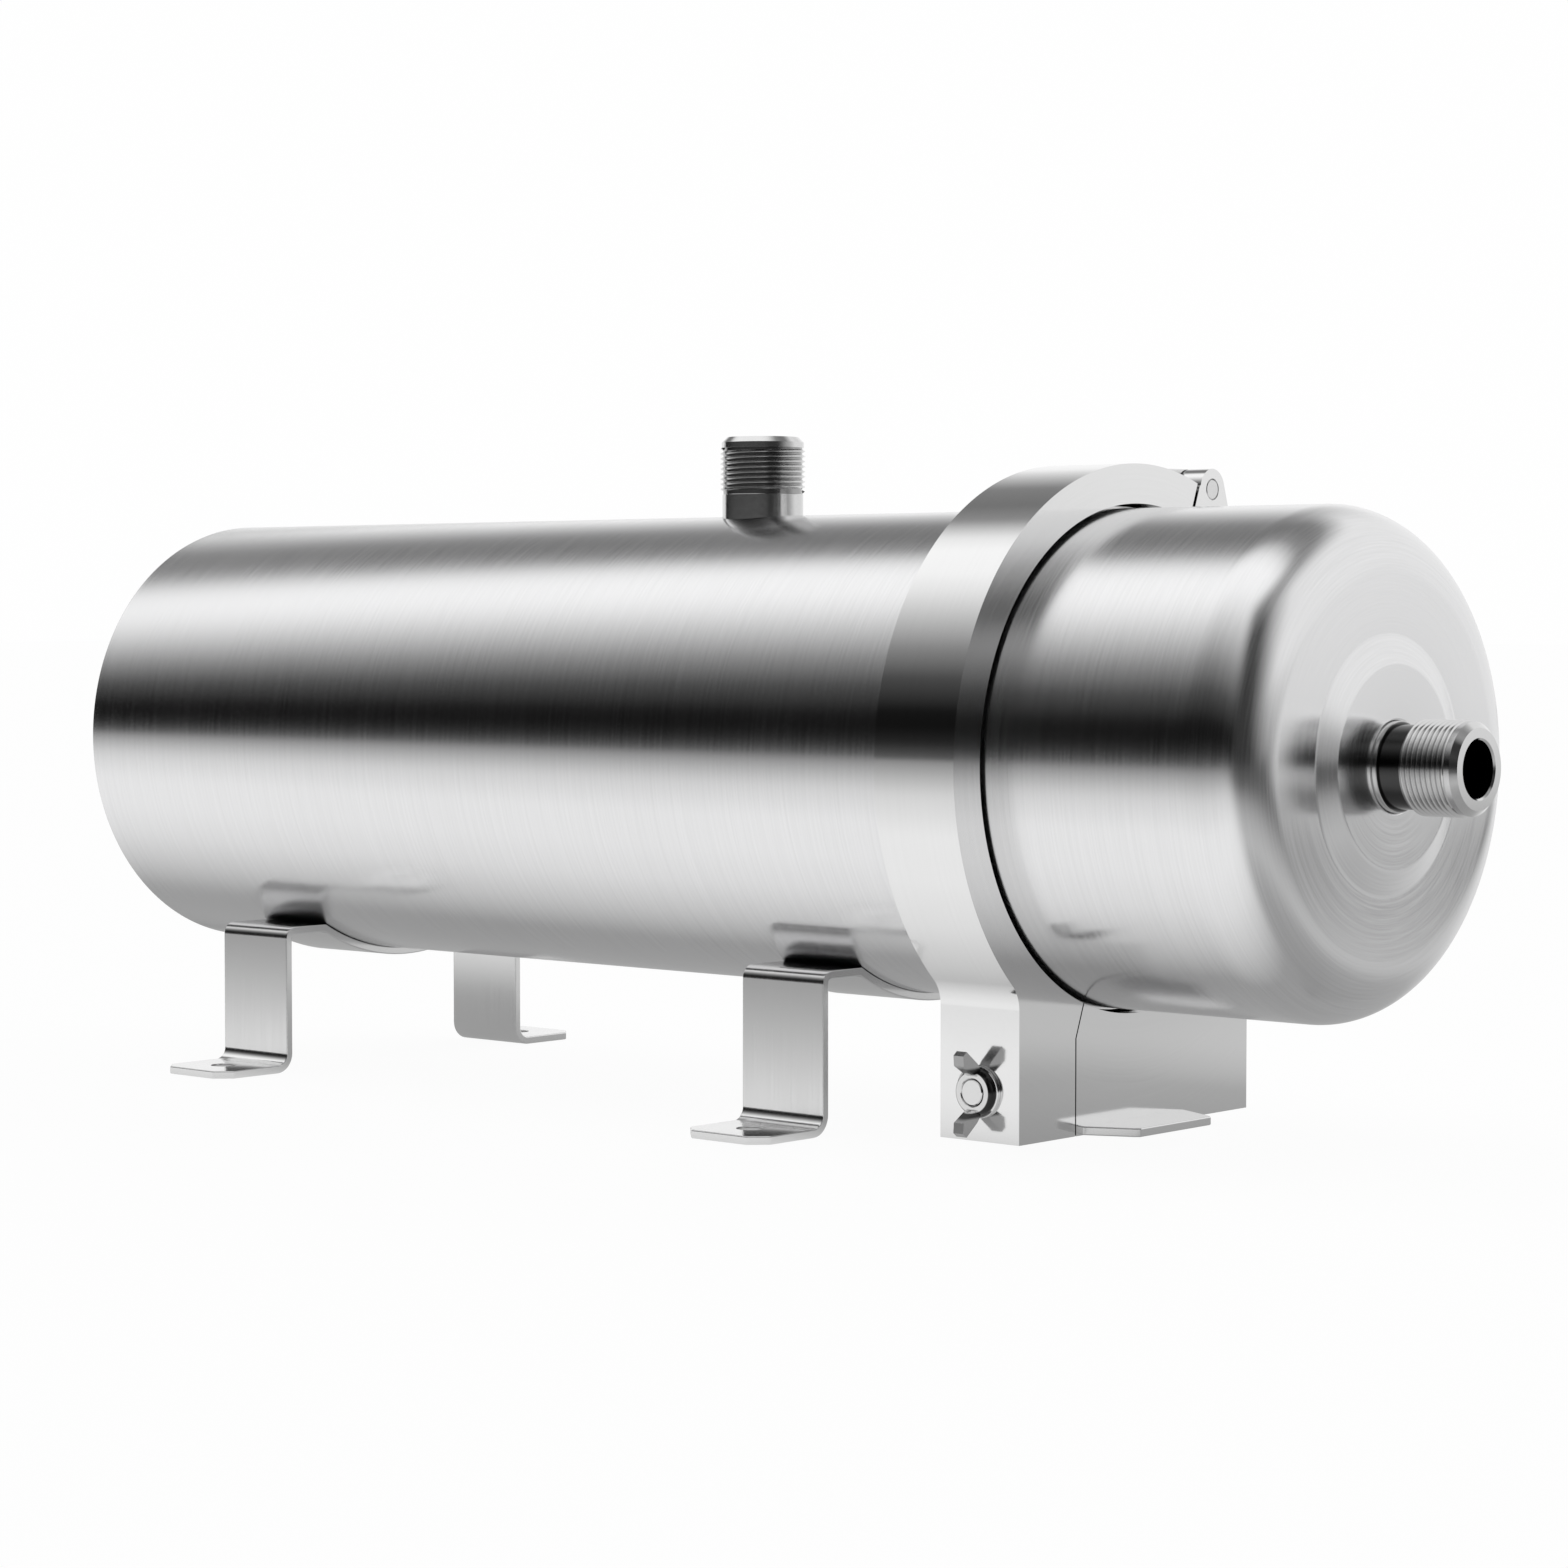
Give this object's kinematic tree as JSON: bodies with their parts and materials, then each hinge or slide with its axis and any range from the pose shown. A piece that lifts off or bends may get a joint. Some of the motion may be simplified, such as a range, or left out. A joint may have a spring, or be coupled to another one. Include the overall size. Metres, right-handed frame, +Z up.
{
  "type": "ultrafiltration water purifier",
  "caption": "Horizontal stainless tube housing on bent strip feet with threaded nipples, a hinged clamp ring with a wing nut, a drawn end cap and a hollow fibre cartridge inside.",
  "frame": {"origin": "middle of the four foot holes, on the floor plane", "axes": "+X along the barrel towards the end cap, +Y away from the wing nut, +Z up"},
  "size_m": [0.4152, 0.1342, 0.1638],
  "materials": {
    "brushed_shell": "brushed round the barrel",
    "machined_steel": "turned",
    "strip_steel": "fine brushed sheet",
    "clamp_steel": "satin polished casting",
    "nut_steel": "darker satin casting",
    "seal_rubber": "matte black",
    "white_plastic": "satin moulded",
    "fibre": "matte fibre",
    "resin": "cast resin"
  },
  "bodies": {
    "housing": {"barrel_tube": "brushed_shell", "rear_head": "brushed_shell", "top_nipple": "machined_steel", "rear_nipple": "machined_steel", "barrel_flange": "machined_steel", "rear_seat": "machined_steel", "rear_bracket": "strip_steel", "front_bracket": "strip_steel", "clamp_far_half": "clamp_steel", "hinge_pin": "machined_steel", "clamp_stud": "machined_steel", "clamp_tab": "strip_steel", "end_cap": "brushed_shell", "cap_flange": "machined_steel", "cap_nipple": "machined_steel", "main_seal": "seal_rubber", "cartridge_shell": "white_plastic", "fibre_bundle": "fibre", "front_potting": "resin", "rear_potting": "resin", "front_collar": "white_plastic", "rear_collar": "white_plastic", "front_o_rings": "seal_rubber", "rear_o_rings": "seal_rubber"},
    "clamp_jaw": {"clamp_near_half": "clamp_steel"},
    "washer": {"stud_washer": "machined_steel"},
    "nut": {"wing_nut": "nut_steel"}
  },
  "joints": [
    {"name": "clamp_hinge", "type": "hinge", "parent": "housing", "child": "clamp_jaw", "pos_m": [0.1521, 0.0287, 0.1493], "axis": [-1, 0, 0], "range_deg": [0, 10]},
    {"name": "nut_travel", "type": "slide", "parent": "housing", "child": "washer", "axis": [0, -1, 0], "range_m": [0, 0.0264]},
    {"name": "nut_spin", "type": "hinge", "parent": "washer", "child": "nut", "pos_m": [0.1521, -0.0467, 0.0144], "axis": [0, -1, 0], "range_deg": [0, 1080]}
  ],
  "couplings": [
    {"joint": "nut_travel", "follows": "clamp_hinge", "m_per_rad": 0.15},
    {"joint": "nut_spin", "follows": "clamp_hinge", "ratio": 108}
  ]
}
